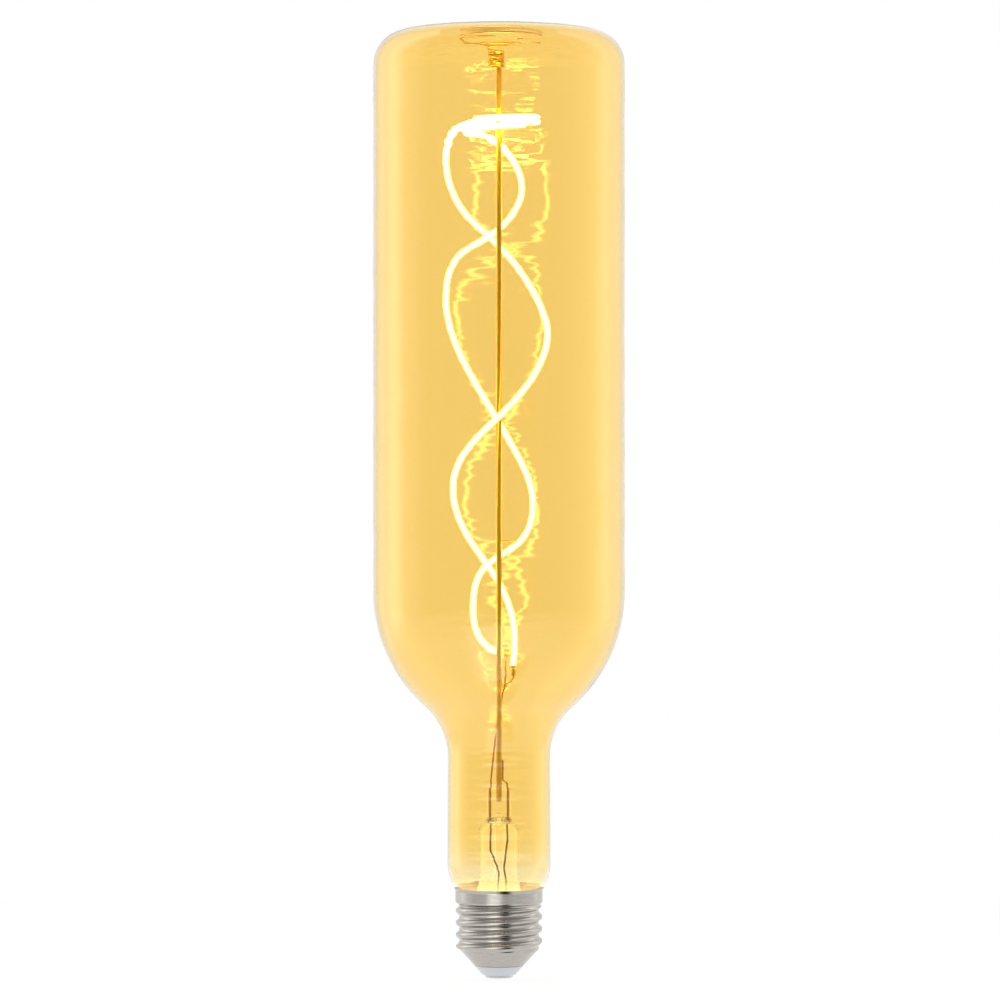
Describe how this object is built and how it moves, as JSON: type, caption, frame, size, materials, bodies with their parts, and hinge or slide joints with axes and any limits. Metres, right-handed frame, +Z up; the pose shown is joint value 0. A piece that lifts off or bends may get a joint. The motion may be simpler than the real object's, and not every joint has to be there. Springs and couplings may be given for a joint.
{
  "type": "light bulb",
  "caption": "Bottle-shaped amber glass light bulb with a folded flexible filament wound round a central rod, on a screw cap.",
  "frame": {"origin": "middle of the centre contact's underside, on the bulb's axis", "axes": "+Z up the bulb's axis from the cap to the glass top; -Y towards the picture's viewer; +X to that viewer's right"},
  "size_m": [0.076, 0.076, 0.286],
  "materials": {
    "amber_glass": "blown, amber tinted, clear gloss",
    "clear_glass": "drawn tube, fire polished",
    "filament_silicone": "silicone coat over lit LED chips",
    "wire_metal": "drawn wire, bright",
    "lead_metal": "copper-clad wire, dulled by sealing",
    "cap_metal": "rolled, nickel plated, satin",
    "contact_metal": "pressed, tin plated",
    "insulator": "moulded, pale grey",
    "cement": "cured, matt",
    "board": "glass fibre laminate, lacquered",
    "package": "moulded, matt",
    "capacitor_sleeve": "shrunk sleeve",
    "resistor_body": "lacquered"
  },
  "bodies": {
    "root": {"glass_envelope": "amber_glass", "glass_stem": "clear_glass", "support_rod": "wire_metal", "top_spring": "wire_metal", "led_filament": "filament_silicone", "filament_terminal_feed": "wire_metal", "filament_terminal_return": "wire_metal", "fold_hook": "wire_metal", "side_support": "wire_metal", "link_wire": "wire_metal", "return_lead": "lead_metal", "feed_outer_lead": "lead_metal", "return_outer_lead": "lead_metal", "cap_shell": "cap_metal", "cap_insulator": "insulator", "centre_contact": "contact_metal", "basing_cement": "cement", "driver_board": "board", "bridge_rectifier": "package", "driver_chip": "package", "smoothing_capacitor": "capacitor_sleeve", "fuse_resistor": "resistor_body", "shell_wire": "lead_metal"}
  },
  "joints": []
}
